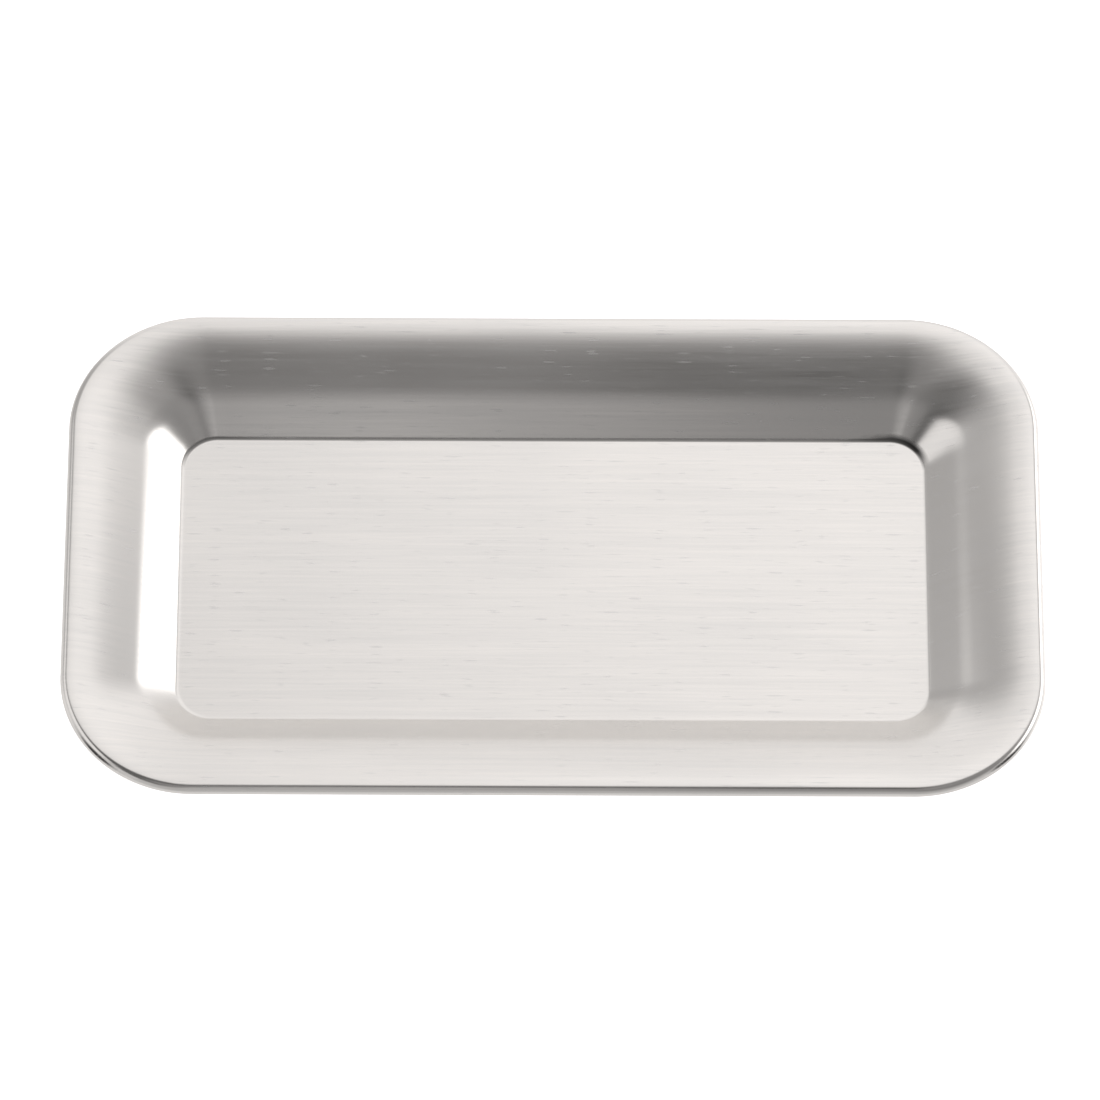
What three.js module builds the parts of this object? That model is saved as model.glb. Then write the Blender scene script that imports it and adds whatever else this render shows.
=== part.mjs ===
// Shallow rectangular counting tray, pressed from one sheet of stainless steel.
//
// A flat floor turns up through a small foot radius into a sloped wall. Over a shoulder
// the wall becomes a wide rim that bulges upwards and comes level at its outer edge,
// where the sheet is rolled under into a round edge that leaves no sharp side to touch.
//
// Millimetres, +Z up, +X along the tray's length. The origin is on the surface that the
// tray stands on, under its middle.

import * as THREE from 'three';

const degrees = Math.PI / 180;

// ---- Driving dimensions ------------------------------------------------------------

const LENGTH = 250;                  // over the rolled edge, along X
const WIDTH = 142;                   // over the rolled edge, along Y
const HEIGHT = 15;                   // from the ground to the crest of the rolled edge
const SHEET = 0.8;                   // thickness of the sheet
const FLOOR_LENGTH = 190.6;          // the flat floor, along X
const OUTER_CORNER_RADIUS = 34;      // plan radius of the rolled edge's corners
const FLOOR_CORNER_RADIUS = 8.5;     // plan radius of the flat floor's corners

const FOOT_RADIUS = 2;               // floor to wall, on the top face
const WALL_SLOPE = 37 * degrees;     // above the level
const WALL_RUN = 6.6;                // level distance that the straight wall covers
const SHOULDER_RADIUS = 30;          // wall to rim, on the top face
const RIM_SLOPE = 28 * degrees;      // where the rim leaves the shoulder
const ROLL_RADIUS = 1.8;             // outside of the rolled edge
const ROLL_SWEEP = 270 * degrees;    // how far round the edge is rolled

// How finely each stretch is divided.
const FOOT_STEPS = 3;
const SHOULDER_STEPS = 3;
const RIM_STEPS = 8;
const ROLL_STEPS = 12;
const CORNER_STEPS = 10;

// ---- Worked out from the driving dimensions -----------------------------------------

// The margin is the level distance from the flat floor to the outer edge, the same on
// every side. The corners' plan radius grows evenly across it.
const marginRun = (LENGTH - FLOOR_LENGTH) / 2;
const slopedRun = marginRun - ROLL_RADIUS;
const cornerRadiusGrowth = (OUTER_CORNER_RADIUS - FLOOR_CORNER_RADIUS) / marginRun;

// ---- Section through the sheet -------------------------------------------------------
//
// In the section, x is the level distance outwards from the edge of the flat floor, and y
// is the height. Each point of the top face also has the direction that the face looks in.

function arc(centre, radius, startAngle, endAngle, steps, facing) {
  // Angles are measured from straight up, positive outwards. A facing of -1 is a hollow
  // bend, seen from the centre's side.
  const points = [];
  for (let step = 0; step <= steps; step += 1) {
    const angle = THREE.MathUtils.lerp(startAngle, endAngle, step / steps);
    const direction = new THREE.Vector2(Math.sin(angle), Math.cos(angle));
    points.push({
      place: direction.clone().multiplyScalar(radius).add(centre),
      normal: direction.clone().multiplyScalar(facing),
    });
  }
  return points;
}

function footBend() {
  const centre = new THREE.Vector2(0, SHEET + FOOT_RADIUS);
  return arc(centre, FOOT_RADIUS, Math.PI, Math.PI - WALL_SLOPE, FOOT_STEPS, -1);
}

function shoulderBend(start) {
  const inward = new THREE.Vector2(Math.sin(WALL_SLOPE), -Math.cos(WALL_SLOPE));
  const centre = inward.multiplyScalar(SHOULDER_RADIUS).add(start);
  return arc(centre, SHOULDER_RADIUS, -WALL_SLOPE, -RIM_SLOPE, SHOULDER_STEPS, 1);
}

function rimCurve(start) {
  // One curve that leaves the shoulder at its slope and comes level at the rolled edge.
  const end = new THREE.Vector2(slopedRun, HEIGHT);
  const reach = (end.y - start.y) / Math.tan(RIM_SLOPE);
  const corner = new THREE.Vector2(start.x + reach, HEIGHT);
  const curve = new THREE.QuadraticBezierCurve(start, corner, end);
  const points = [];
  for (let step = 1; step < RIM_STEPS; step += 1) {
    const along = step / RIM_STEPS;
    const tangent = curve.getTangent(along);
    points.push({
      place: curve.getPoint(along),
      normal: new THREE.Vector2(-tangent.y, tangent.x),
    });
  }
  return points;
}

function rolledEdge() {
  const centre = new THREE.Vector2(slopedRun, HEIGHT - ROLL_RADIUS);
  return arc(centre, ROLL_RADIUS, 0, ROLL_SWEEP, ROLL_STEPS, 1);
}

function sheetSection() {
  // The top face from the floor's edge to the end of the roll, then back along the
  // underside. The step between the two is the sheet's cut edge.
  const wall = new THREE.Vector2(WALL_RUN, WALL_RUN * Math.tan(WALL_SLOPE));
  const foot = footBend();
  const shoulder = shoulderBend(wall.add(foot[FOOT_STEPS].place));
  const rim = rimCurve(shoulder[SHOULDER_STEPS].place);
  const topFace = [...foot, ...shoulder, ...rim, ...rolledEdge()];
  const underside = topFace.map(({ place, normal }) => (
    normal.clone().multiplyScalar(-SHEET).add(place)
  ));
  return [...topFace.map(({ place }) => place), ...underside.reverse()];
}

// ---- Plan outline --------------------------------------------------------------------

const cornerSides = [
  new THREE.Vector2(1, 1),
  new THREE.Vector2(-1, 1),
  new THREE.Vector2(-1, -1),
  new THREE.Vector2(1, -1),
];

function outlineStations() {
  // Places round the tray, anticlockwise from above. Each has the side that its corner
  // is on and the direction in which the section faces there.
  const stations = [];
  cornerSides.forEach((side, quarter) => {
    for (let step = 0; step <= CORNER_STEPS; step += 1) {
      const angle = (quarter + step / CORNER_STEPS) * Math.PI / 2;
      stations.push({ side, direction: new THREE.Vector2(Math.cos(angle), Math.sin(angle)) });
    }
  });
  return stations;
}

function planPlace({ side, direction }, out) {
  // Where a station's section crosses the rounded rectangle that lies `out` from the floor.
  const cornerRadius = FLOOR_CORNER_RADIUS + cornerRadiusGrowth * out;
  const outerGap = marginRun - out + cornerRadius;
  const centre = new THREE.Vector2(LENGTH / 2 - outerGap, WIDTH / 2 - outerGap).multiply(side);
  return direction.clone().multiplyScalar(cornerRadius).add(centre);
}

// ---- The pressing --------------------------------------------------------------------

function trayGeometry() {
  const section = sheetSection();
  const stations = outlineStations();
  const positions = [];
  const triangles = [];

  // Each station carries one copy of the section.
  stations.forEach((station) => {
    section.forEach((point) => {
      const place = planPlace(station, point.x);
      positions.push(place.x, place.y, point.y);
    });
  });
  const corner = (station, point) => (
    (station % stations.length) * section.length + point
  );

  // The skin between neighbouring stations, all but the strip that the floor closes.
  for (let station = 0; station < stations.length; station += 1) {
    for (let point = 0; point < section.length - 1; point += 1) {
      const here = corner(station, point);
      const next = corner(station + 1, point);
      const nextOut = corner(station + 1, point + 1);
      const hereOut = corner(station, point + 1);
      triangles.push(here, hereOut, nextOut, here, nextOut, next);
    }
  }

  // The flat floor, as a fan from its middle on each face.
  const floorTop = positions.length / 3;
  const floorUnderside = floorTop + 1;
  positions.push(0, 0, SHEET, 0, 0, 0);
  const lastPoint = section.length - 1;
  for (let station = 0; station < stations.length; station += 1) {
    triangles.push(floorTop, corner(station, 0), corner(station + 1, 0));
    triangles.push(floorUnderside, corner(station + 1, lastPoint), corner(station, lastPoint));
  }

  const geometry = new THREE.BufferGeometry();
  geometry.setAttribute('position', new THREE.Float32BufferAttribute(positions, 3));
  geometry.setIndex(triangles);
  geometry.computeVertexNormals();
  return geometry;
}

const brushedSteel = new THREE.MeshStandardMaterial({
  color: new THREE.Color(0.8, 0.79, 0.77),
  roughness: 0.35,
  metalness: 1,
});

const trayBody = new THREE.Mesh(trayGeometry(), brushedSteel);
trayBody.name = 'tray_body';

const tray = new THREE.Group();
tray.add(trayBody);

export default tray;
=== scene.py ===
"""A shallow counting tray, pressed from one sheet of brushed stainless steel, in a pale light tent.

Metres, +Z up, +X along the tray's length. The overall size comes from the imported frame, and
the section through the sheet is worked out from the named dimensions below.
"""

import math

import bmesh
import bpy
import numpy as np
from mathutils import Matrix, Vector


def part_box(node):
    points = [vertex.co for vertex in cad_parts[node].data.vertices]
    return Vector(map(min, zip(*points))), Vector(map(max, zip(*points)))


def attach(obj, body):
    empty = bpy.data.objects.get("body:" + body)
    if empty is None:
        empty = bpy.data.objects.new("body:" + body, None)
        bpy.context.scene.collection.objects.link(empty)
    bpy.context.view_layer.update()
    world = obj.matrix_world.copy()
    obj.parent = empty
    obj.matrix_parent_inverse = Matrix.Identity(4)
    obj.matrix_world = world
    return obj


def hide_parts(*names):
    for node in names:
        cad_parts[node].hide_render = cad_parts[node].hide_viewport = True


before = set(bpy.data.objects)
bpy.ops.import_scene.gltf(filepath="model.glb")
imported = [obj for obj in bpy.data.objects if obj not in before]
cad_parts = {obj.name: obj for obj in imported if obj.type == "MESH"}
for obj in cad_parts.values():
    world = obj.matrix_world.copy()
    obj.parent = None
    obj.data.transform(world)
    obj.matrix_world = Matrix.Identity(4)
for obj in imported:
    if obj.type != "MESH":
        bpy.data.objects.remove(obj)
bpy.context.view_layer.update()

MM = 0.001
DEGREES = math.pi / 180

# ---- The tray's size -------------------------------------------------------------------

BOX_LOW, BOX_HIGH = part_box("tray_body")
LENGTH, WIDTH, HEIGHT = BOX_HIGH - BOX_LOW
MIDDLE = (BOX_LOW + BOX_HIGH) / 2

SHEET = 0.8 * MM                    # thickness of the sheet
MARGIN_RUN = 29.7 * MM              # level distance from the flat floor to the outer edge
OUTER_CORNER_RADIUS = 34 * MM       # plan radius of the rolled edge's corners
FLOOR_CORNER_RADIUS = 8.5 * MM      # plan radius of the flat floor's corners

FOOT_RADIUS = 2 * MM                # floor to wall, on the top face
WALL_SLOPE = 37 * DEGREES           # above the level
WALL_RUN = 6.6 * MM                 # level distance that the straight wall covers
SHOULDER_RADIUS = 30 * MM           # wall to rim, on the top face
RIM_SLOPE = 28 * DEGREES            # where the rim leaves the shoulder
ROLL_RADIUS = 1.8 * MM              # outside of the rolled edge
ROLL_SWEEP = 270 * DEGREES          # how far round the edge is rolled

# A painted shade, dark in colour and rougher, lies in the crease where the floor meets the back
# wall.
CREASE_WIDTH_MIDDLE = 0.9 * MM      # outwards from the flat floor's edge
CREASE_WIDTH_CORNER = 2.0 * MM
CREASE_CORNER_REACH = 22 * MM       # how far from the corner it is thicker
CREASE_ON_BACK = 0.6                # how thick it is along the back, against 1 in the corner
CREASE_ON_LEFT = 0.4                # how thick the left corner's is, against the right one's
CREASE_FADE = 0.7                   # of the floor's corner radius, over which it sets in
CREASE_EDGE = 2.0                   # how steeply it thickens from its edges
CREST_REACH = 3 * MM                # on each side of the rolled edge's crest

SHARP_ANGLE = 40 * DEGREES          # only the sheet's cut edge is sharper
WELD_DISTANCE = 0.001 * MM

# How finely each stretch is divided.
FOOT_STEPS = 10
WALL_STEPS = 6
SHOULDER_STEPS = 6
RIM_STEPS = 24
ROLL_STEPS = 36
CORNER_STEPS = 32
LONG_SIDE_STEPS = 56
SHORT_SIDE_STEPS = 24

# ---- The section through the sheet -----------------------------------------------------
#
# A point of the section is (out, up): the level distance outwards from the flat floor's
# edge, and the height above the ground.


def arc(centre, radius, start, end, steps, facing):
    """Points and normals of an arc. Angles are from straight up, positive outwards."""
    angles = np.linspace(start, end, steps + 1)
    directions = np.stack([np.sin(angles), np.cos(angles)], axis=1)
    return np.array(centre) + directions * radius, directions * facing


def foot_bend():
    return arc((0, SHEET + FOOT_RADIUS), FOOT_RADIUS, math.pi, math.pi - WALL_SLOPE, FOOT_STEPS, -1)


def straight_wall(start):
    along = np.linspace(0, 1, WALL_STEPS + 1)[1:, None]
    places = start + along * WALL_RUN * np.array([1, math.tan(WALL_SLOPE)])
    normal = np.array([-math.sin(WALL_SLOPE), math.cos(WALL_SLOPE)])
    return places, np.tile(normal, (len(along), 1))


def shoulder_bend(start):
    centre = start + SHOULDER_RADIUS * np.array([math.sin(WALL_SLOPE), -math.cos(WALL_SLOPE)])
    places, normals = arc(centre, SHOULDER_RADIUS, -WALL_SLOPE, -RIM_SLOPE, SHOULDER_STEPS, 1)
    return places[1:], normals[1:]


def rim_curve(start, end):
    """A quadratic curve that leaves start at the rim's slope and comes level at end."""
    corner = np.array([start[0] + (end[1] - start[1]) / math.tan(RIM_SLOPE), end[1]])
    along = np.linspace(0, 1, RIM_STEPS + 1)[1:-1, None]
    places = (1 - along) ** 2 * start + 2 * along * (1 - along) * corner + along ** 2 * end
    tangents = (1 - along) * (corner - start) + along * (end - corner)
    normals = np.stack([-tangents[:, 1], tangents[:, 0]], axis=1)
    return places, normals / np.linalg.norm(normals, axis=1, keepdims=True)


def top_face():
    """Places, normals and lengths along the sheet, from the floor's edge to the roll's end."""
    sloped_run = MARGIN_RUN - ROLL_RADIUS
    foot = foot_bend()
    wall = straight_wall(foot[0][-1])
    shoulder = shoulder_bend(wall[0][-1])
    rim = rim_curve(shoulder[0][-1], np.array([sloped_run, HEIGHT]))
    roll = arc((sloped_run, HEIGHT - ROLL_RADIUS), ROLL_RADIUS, 0, ROLL_SWEEP, ROLL_STEPS, 1)
    stretches = [foot, wall, shoulder, rim, roll]
    places = np.concatenate([stretch[0] for stretch in stretches])
    normals = np.concatenate([stretch[1] for stretch in stretches])
    steps = np.linalg.norm(np.diff(places, axis=0), axis=1)
    return places, normals, np.concatenate([[0], np.cumsum(steps)])


# ---- The outline from above ------------------------------------------------------------

CORNER_SIDES = [(1, 1), (-1, 1), (-1, -1), (1, -1)]


def stations():
    """Places round the tray, anticlockwise: (from_side, to_side, share, direction).

    Each straight side runs from one corner's centre to the next one's.
    """
    found = []
    for quarter, side in enumerate(CORNER_SIDES):
        for step in range(CORNER_STEPS):
            angle = (quarter + step / CORNER_STEPS) * math.pi / 2
            found.append((side, side, 0.0, (math.cos(angle), math.sin(angle))))
        angle = (quarter + 1) * math.pi / 2
        facing = (round(math.cos(angle)), round(math.sin(angle)))
        steps = LONG_SIDE_STEPS if facing[0] == 0 else SHORT_SIDE_STEPS
        following = CORNER_SIDES[(quarter + 1) % 4]
        for step in range(steps):
            found.append((side, following, step / steps, facing))
    return found


def outline(all_stations, out):
    """The rounded rectangle that lies out from the floor's edge, one point a station."""
    growth = (OUTER_CORNER_RADIUS - FLOOR_CORNER_RADIUS) / MARGIN_RUN
    corner_radius = FLOOR_CORNER_RADIUS + growth * out
    gap = MARGIN_RUN - out + corner_radius
    centre = np.array([LENGTH / 2 - gap, WIDTH / 2 - gap])
    from_side, to_side, share, direction = (np.array(column, float) for column in zip(*all_stations))
    side = from_side + (to_side - from_side) * share[:, None]
    return side * centre + direction * corner_radius


# ---- The pressing's mesh ---------------------------------------------------------------


def grid_inside(edge):
    """A grid of points spanned by a closed edge of stations, as rows of one length.

    The rows run along X. The edge is split in the middle of each rounded corner.
    """
    half = CORNER_STEPS // 2
    across = LONG_SIDE_STEPS + CORNER_STEPS
    deep = SHORT_SIDE_STEPS + CORNER_STEPS
    turned = np.roll(edge, -half, axis=0)
    back = turned[: across + 1][::-1]
    left = turned[across: across + deep + 1][::-1]
    front = turned[across + deep: 2 * across + deep + 1]
    right = np.concatenate([turned[2 * across + deep:], turned[:1]])
    u = np.linspace(0, 1, across + 1)[None, :, None]
    v = np.linspace(0, 1, deep + 1)[:, None, None]
    between_ends = (1 - v) * front[None] + v * back[None]
    between_sides = (1 - u) * left[:, None] + u * right[:, None]
    corners = (
        (1 - u) * (1 - v) * front[0] + u * (1 - v) * front[-1]
        + (1 - u) * v * back[0] + u * v * back[-1]
    )
    return between_ends + between_sides - corners


def add_quads(rows, faces, first, flip, closed):
    """Quads between neighbouring rows of points that are numbered from first."""
    count = rows[1]
    for row in range(rows[0] - 1):
        for column in range(count if closed else count - 1):
            following = (column + 1) % count
            quad = [
                first + row * count + column,
                first + row * count + following,
                first + (row + 1) * count + following,
                first + (row + 1) * count + column,
            ]
            faces.append(quad[::-1] if flip else quad)


def tray_mesh():
    places, normals, lengths = top_face()
    underside = places - normals * SHEET
    section = np.concatenate([places, underside[::-1]])
    blank_lengths = np.concatenate([lengths, lengths[::-1]])
    all_stations = stations()

    points, blank, faces = [], [], []
    for (out, up), length in zip(section, blank_lengths):
        ring = outline(all_stations, out)
        points.append(np.column_stack([ring, np.full(len(ring), up)]))
        blank.append(outline(all_stations, length))
    add_quads((len(section), len(all_stations)), faces, 0, True, True)
    first = len(section) * len(all_stations)

    floor = grid_inside(outline(all_stations, 0))
    rows, columns = floor.shape[:2]
    floor = floor.reshape(-1, 2)
    for height, flip in ((SHEET, False), (0.0, True)):
        points.append(np.column_stack([floor, np.full(len(floor), height)]))
        blank.append(floor)
        add_quads((rows, columns), faces, first, flip, False)
        first += len(floor)
    points = np.concatenate(points)
    points[:, :2] += np.array(MIDDLE[:2])
    return points, np.concatenate(blank), faces


def nearness(distances, reach):
    """1 at no distance, falling evenly to 0 at the reach."""
    return np.clip(1 - np.abs(distances) / reach, 0, 1)


def painted_crease_shade(points):
    """How thick the painted shade in the crease is at each point, from 0 to 1.

    It lies along the back and is widest in the back corners.
    """
    half_floor = np.array([LENGTH, WIDTH]) / 2 - MARGIN_RUN
    corner_centre = half_floor - FLOOR_CORNER_RADIUS
    beyond_centre = np.abs(points[:, :2]) - corner_centre
    from_edge = np.linalg.norm(np.maximum(beyond_centre, 0), axis=1) - FLOOR_CORNER_RADIUS
    to_corner = np.linalg.norm(np.abs(points[:, :2]) - half_floor, axis=1)
    in_corner = nearness(to_corner, CREASE_CORNER_REACH)
    in_corner *= np.where(points[:, 0] > 0, 1, CREASE_ON_LEFT)
    width = CREASE_WIDTH_MIDDLE + (CREASE_WIDTH_CORNER - CREASE_WIDTH_MIDDLE) * in_corner
    past_corner = points[:, 1] - corner_centre[1]
    at_back = np.clip(past_corner / (CREASE_FADE * FLOOR_CORNER_RADIUS), 0, 1)
    strength = CREASE_ON_BACK + (1 - CREASE_ON_BACK) * in_corner
    across = np.clip(CREASE_EDGE * nearness(from_edge - width / 2, width / 2), 0, 1)
    return across * at_back * strength


def crest_height(points):
    """How near each point lies to the rolled edge's crest, which hands keep bright."""
    outside = np.abs(points[:, :2]) - (np.array([LENGTH, WIDTH]) / 2 - OUTER_CORNER_RADIUS)
    from_edge = np.linalg.norm(np.maximum(outside, 0), axis=1) - OUTER_CORNER_RADIUS
    return nearness(from_edge + ROLL_RADIUS, CREST_REACH) * (points[:, 2] > HEIGHT / 2)


def make_tray():
    points, blank, faces = tray_mesh()
    mesh = bpy.data.meshes.new("tray_pressing")
    mesh.from_pydata(points.tolist(), [], faces)
    sheet_map = mesh.uv_layers.new(name="sheet")
    corners = np.empty(len(mesh.loops), np.int32)
    mesh.loops.foreach_get("vertex_index", corners)
    sheet_map.data.foreach_set("uv", blank[corners].astype(np.float32).ravel())
    # the crease attribute carries the painted shade in the back crease, and its extra roughness
    for name, amounts in (("crease", painted_crease_shade(points)), ("crest", crest_height(points))):
        attribute = mesh.attributes.new(name, "FLOAT", "POINT")
        attribute.data.foreach_set("value", amounts.astype(np.float32))
    weld(mesh)
    mesh.shade_smooth()
    mesh.set_sharp_from_angle(angle=SHARP_ANGLE)
    tray = bpy.data.objects.new("tray_pressing", mesh)
    bpy.context.scene.collection.objects.link(tray)
    return tray


def weld(mesh):
    """Joins the flat floor's edges to the skin's, where they lie on each other."""
    work = bmesh.new()
    work.from_mesh(mesh)
    bmesh.ops.remove_doubles(work, verts=work.verts, dist=WELD_DISTANCE)
    work.to_mesh(mesh)
    work.free()


# ---- Materials -------------------------------------------------------------------------


class Nodes:
    """Short ways to add nodes to a tree and link them."""

    def __init__(self, tree):
        self.tree = tree
        tree.nodes.clear()

    def add(self, kind, inputs=None, **settings):
        node = self.tree.nodes.new(kind)
        for name, value in settings.items():
            setattr(node, name, value)
        for name, value in (inputs or {}).items():
            self.feed(node.inputs[name], value)
        return node

    def feed(self, socket, value):
        if isinstance(value, bpy.types.NodeSocket):
            self.tree.links.new(value, socket)
        else:
            socket.default_value = value


# The brushed grain runs along X over the flat blank, before it is pressed. Each layer of
# noise has its length along the grain, its pitch across it and how much finer detail it has.
GRAIN_LAYERS = {
    "hairlines": (30 * MM, 0.55 * MM, 3.0),
    "streaks": (90 * MM, 1.7 * MM, 2.0),
    "bands": (260 * MM, 9 * MM, 1.0),
    "clouds": (45 * MM, 30 * MM, 2.0),
    "scratches": (6 * MM, 0.6 * MM, 0.0),
}
GRAIN_SPAN = (0.25, 0.75)           # of the noise, spread from 0 to 1
SCRATCH_SPAN = (0.77, 0.88)         # only the noise's rare peaks are scratches
SCRATCH_TURN = 0.8 * DEGREES        # off the grain

LIGHT_STEEL = (0.842, 0.821, 0.796, 1)
DARK_STEEL = (0.765, 0.756, 0.742, 1)
# painted shade: the dark colour laid into the floor's back crease
PAINTED_SHADE_COLOUR = (0.03, 0.029, 0.028, 1)
SMOOTHEST = 0.155                   # the roughness between the grain's marks
ANISOTROPY = 0.8
GRAIN_ROTATION = 0.25               # of a full turn, so that highlights spread across the grain

# How much each layer and each attribute of the mesh adds.
DARKENING = {"hairlines": 0.3, "streaks": 0.3, "bands": 0.15, "clouds": 0.25, "scratches": 0.5}
ROUGHENING = {
    "hairlines": 0.03,
    "streaks": 0.03,
    "clouds": 0.03,
    "scratches": 0.08,
    "crease": 0.15,
    "crest": -0.03,
}
RELIEF = {"hairlines": 0.0014 * MM, "streaks": 0.0028 * MM, "scratches": -0.0020 * MM}


def grain_noise(n, name):
    """One layer of noise, stretched along the grain and spread from 0 to 1."""
    length, pitch, detail = GRAIN_LAYERS[name]
    place = n.add("ShaderNodeUVMap", uv_map="sheet").outputs[0]
    span = GRAIN_SPAN
    if name == "scratches":
        span = SCRATCH_SPAN
        place = n.add("ShaderNodeVectorRotate", {
            "Vector": place, "Angle": SCRATCH_TURN,
        }, rotation_type="Z_AXIS").outputs[0]
    stretched = n.add("ShaderNodeVectorMath", {
        0: place, 1: (1 / length, 1 / pitch, 1.0),
    }, operation="MULTIPLY", label=name)
    layer = n.add("ShaderNodeTexNoise", {
        "Vector": stretched.outputs[0], "Scale": 1.0, "Detail": detail,
    }, noise_dimensions="2D")
    spread = n.add("ShaderNodeMapRange", {
        "Value": layer.outputs[0], "From Min": span[0], "From Max": span[1],
    })
    return spread.outputs[0]


def mix_colours(n, share, first, second):
    """A share of 0 gives the first colour."""
    mix = n.add("ShaderNodeMix", data_type="RGBA")
    sockets = [socket for socket in mix.inputs if socket.enabled]
    for socket, value in zip(sockets, (share, first, second)):
        n.feed(socket, value)
    return next(socket for socket in mix.outputs if socket.enabled)


def weighted_sum(n, layers, weights, start):
    total = start
    for name, weight in weights.items():
        total = n.add("ShaderNodeMath", {
            0: layers[name], 1: weight, 2: total,
        }, operation="MULTIPLY_ADD").outputs[0]
    return total


def brushed_steel():
    material = bpy.data.materials.new("brushed_stainless")
    material.use_nodes = True
    n = Nodes(material.node_tree)
    layers = {name: grain_noise(n, name) for name in GRAIN_LAYERS}
    for name in ("crease", "crest"):
        layers[name] = n.add("ShaderNodeAttribute", attribute_name=name).outputs["Fac"]

    steel = mix_colours(n, weighted_sum(n, layers, DARKENING, 0.0), LIGHT_STEEL, DARK_STEEL)
    relief = weighted_sum(n, layers, RELIEF, 0.0)
    bump = n.add("ShaderNodeBump", {"Height": relief, "Distance": 1.0, "Strength": 1.0})
    tangent = n.add("ShaderNodeTangent", direction_type="UV_MAP", uv_map="sheet")
    shader = n.add("ShaderNodeBsdfPrincipled", {
        # painted shade in the back crease, mixed in where the crease attribute is high
        "Base Color": mix_colours(n, layers["crease"], steel, PAINTED_SHADE_COLOUR),
        "Metallic": 1.0,
        "Roughness": weighted_sum(n, layers, ROUGHENING, SMOOTHEST),
        "Anisotropic": ANISOTROPY,
        "Anisotropic Rotation": GRAIN_ROTATION,
        "Tangent": tangent.outputs[0],
        "Normal": bump.outputs[0],
    })
    n.add("ShaderNodeOutputMaterial", {"Surface": shader.outputs[0]})
    return material


FLOOR_COLOUR = (0.85, 0.85, 0.85, 1)
FLOOR_GLOW = 0.95                   # keeps the floor white in the dome's shade


def pale_floor():
    material = bpy.data.materials.new("pale_floor")
    material.use_nodes = True
    n = Nodes(material.node_tree)
    shader = n.add("ShaderNodeBsdfPrincipled", {
        "Base Color": FLOOR_COLOUR,
        "Roughness": 0.9,
        "Specular IOR Level": 0.0,
        "Emission Color": (1, 1, 1, 1),
        "Emission Strength": FLOOR_GLOW,
    })
    n.add("ShaderNodeOutputMaterial", {"Surface": shader.outputs[0]})
    return material


# ---- Studio ----------------------------------------------------------------------------

FLOOR_REACH = 20.0                  # on each side of the tray
FLOOR_GAP = 0.02 * MM               # under the tray, so that the two faces don't coincide


def make_floor():
    mesh = bpy.data.meshes.new("studio_floor")
    corners = [(x * FLOOR_REACH, y * FLOOR_REACH, 0) for x, y in CORNER_SIDES]
    mesh.from_pydata(corners, [], [(0, 1, 2, 3)])
    mesh.materials.append(pale_floor())
    floor = bpy.data.objects.new("studio_floor", mesh)
    floor.location.z = BOX_LOW.z - FLOOR_GAP
    floor.visible_glossy = False
    bpy.context.scene.collection.objects.link(floor)


# The tent is a dome that stands round the tray. It lights the tray and is mirrored in it,
# and the camera looks through it. Each patch has its middle on a dome of radius 1, how far
# it reaches along X, Y and Z, how soft its edge is, and how bright it is.
TENT_RADIUS = 0.6
TENT_SUBDIVISIONS = 5
TENT_BRIGHTNESS = 0.85              # where there is no patch
TENT_TINT = (1.015, 0.993, 0.985, 1)
TENT_PATCHES = [
    ("back glow", (0.28, 0.68, 0.72), (0.42, 0.6, 0.6), 0.8, 1.06),
    ("left side", (-0.7, 0.6, 0.5), (0.31, 0.6, 0.6), 0.5, 0.42),
    ("right shade", (0.72, 0.36, 0.62), (0.3, 0.35, 0.25), 0.4, 0.6),
    ("front", (0.0, -1.0, 0.2), (1.3, 0.5, 0.7), 0.6, 0.52),
    ("front right", (0.5, -0.7, 0.75), (0.56, 0.5, 0.42), 0.8, 0.20),
    ("overhead", (0.0, -0.23, 0.95), (1.0, 0.27, 1.2), 0.6, 0.18),
    ("overhead dark", (0.20, -0.30, 0.93), (0.15, 0.2, 0.3), 0.6, 0.08),
    ("overhead right", (0.5, -0.1, 0.85), (0.25, 0.35, 0.5), 0.5, 0.27),
    ("overhead left", (-0.44, -0.28, 0.82), (0.27, 0.58, 0.5), 0.3, 0.11),
    ("corner left", (-0.33, -0.48, 0.82), (0.17, 0.22, 0.3), 0.4, 0.27),
    ("corner right", (0.36, -0.47, 0.81), (0.17, 0.2, 0.3), 0.5, 0.30),
    ("low left", (-0.93, -0.38, 0.12), (0.18, 0.2, 0.32), 0.3, 0.02),
    ("low right", (0.93, -0.38, 0.12), (0.18, 0.2, 0.32), 0.3, 0.02),
    ("right window", (0.88, 0.40, 0.45), (0.22, 0.66, 0.32), 0.12, 1.9),
    ("left window", (-0.76, 0.12, 0.62), (0.2, 0.44, 0.3), 0.2, 0.93),
    ("low back", (-0.1, 1.0, 0.2), (0.5, 0.4, 0.32), 0.4, 0.95),
    ("ground", (0.0, 0.0, -1.0), (1.2, 1.2, 1.1), 0.1, 0.8),
    ("ground right", (0.8, 0.5, -0.4), (0.5, 0.6, 0.45), 0.2, 1.15),
]


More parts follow.
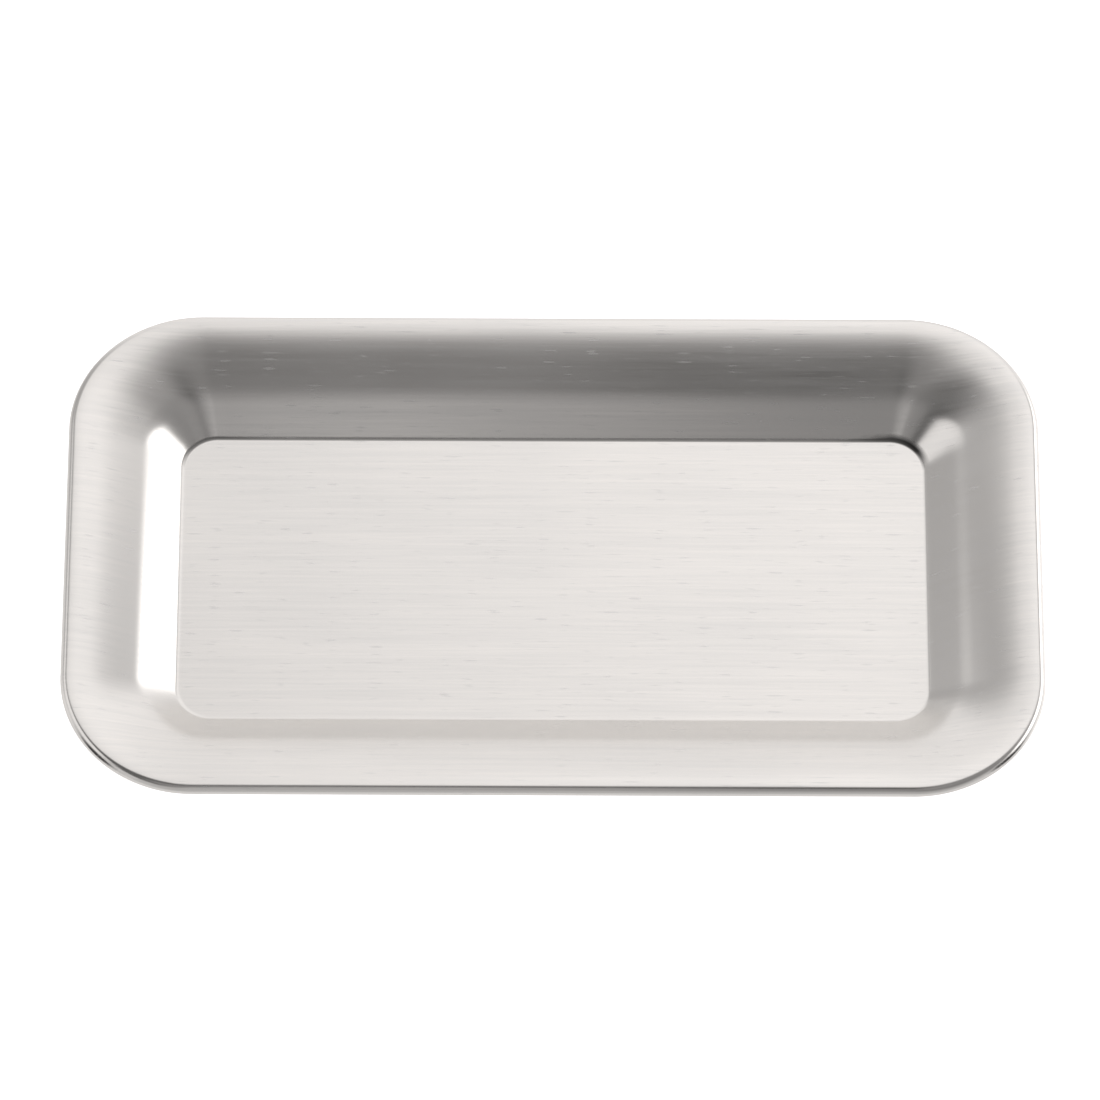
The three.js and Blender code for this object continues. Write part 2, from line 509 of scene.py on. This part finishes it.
def tent_cloth():
    material = bpy.data.materials.new("tent_cloth")
    material.use_nodes = True
    n = Nodes(material.node_tree)
    place = n.add("ShaderNodeTexCoord").outputs["Object"]
    direction = n.add("ShaderNodeVectorMath", {0: place}, operation="NORMALIZE").outputs[0]
    level = TENT_BRIGHTNESS
    for label, middle, reach, softness, brightness in TENT_PATCHES:
        away = n.add("ShaderNodeVectorMath", {0: direction, 1: middle}, operation="SUBTRACT",
                     label=label)
        scaled = n.add("ShaderNodeVectorMath", {0: away.outputs[0], 1: reach}, operation="DIVIDE")
        distance = n.add("ShaderNodeVectorMath", {0: scaled.outputs[0]}, operation="LENGTH")
        share = n.add("ShaderNodeMapRange", {
            "Value": distance.outputs["Value"],
            "From Min": 1 + softness,
            "From Max": 1 - softness,
        }, interpolation_type="SMOOTHSTEP")
        layer = n.add("ShaderNodeMix", {
            "Factor": share.outputs[0], "A": level, "B": brightness,
        })
        level = layer.outputs[0]
    light = n.add("ShaderNodeEmission", {"Color": TENT_TINT, "Strength": level})
    n.add("ShaderNodeOutputMaterial", {"Surface": light.outputs[0]})
    return material


def make_tent():
    work = bmesh.new()
    bmesh.ops.create_icosphere(work, subdivisions=TENT_SUBDIVISIONS, radius=TENT_RADIUS)
    mesh = bpy.data.meshes.new("light_tent")
    work.to_mesh(mesh)
    work.free()
    mesh.materials.append(tent_cloth())
    tent = bpy.data.objects.new("light_tent", mesh)
    tent.visible_camera = False
    bpy.context.scene.collection.objects.link(tent)


SKY_COLOUR = (1.1, 1.1, 1.1, 1)


def make_sky():
    world = bpy.data.worlds.new("white_room")
    world.use_nodes = True
    world.node_tree.nodes["Background"].inputs["Color"].default_value = SKY_COLOUR
    bpy.context.scene.world = world


CAMERA_ELEVATION = 58.8 * DEGREES
CAMERA_AZIMUTH = -0.12 * DEGREES    # from straight in front, round to the right
CAMERA_ROLL = 0.32 * DEGREES
CAMERA_DISTANCE = 2.344
CAMERA_LENS = 298
CAMERA_SENSOR = 36
CAMERA_RANGE = 100
CAMERA_AIM = Vector((-0.85 * MM, 8.5 * MM, SHEET))


def make_camera():
    data = bpy.data.cameras.new("camera")
    data.lens = CAMERA_LENS
    data.sensor_width = CAMERA_SENSOR
    data.clip_end = CAMERA_RANGE
    camera = bpy.data.objects.new("camera", data)
    bpy.context.scene.collection.objects.link(camera)
    back = Vector((
        math.sin(CAMERA_AZIMUTH) * math.cos(CAMERA_ELEVATION),
        -math.cos(CAMERA_AZIMUTH) * math.cos(CAMERA_ELEVATION),
        math.sin(CAMERA_ELEVATION),
    ))
    turn = (-back).to_track_quat("-Z", "Y").to_matrix() @ Matrix.Rotation(CAMERA_ROLL, 3, "Z")
    camera.matrix_world = Matrix.Translation(CAMERA_AIM + back * CAMERA_DISTANCE) @ turn.to_4x4()
    bpy.context.scene.camera = camera


make_camera()
make_sky()
make_tent()
make_floor()
bpy.context.scene.view_settings.view_transform = "Standard"

tray = make_tray()
tray.data.materials.append(brushed_steel())
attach(tray, "root")
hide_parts("tray_body")
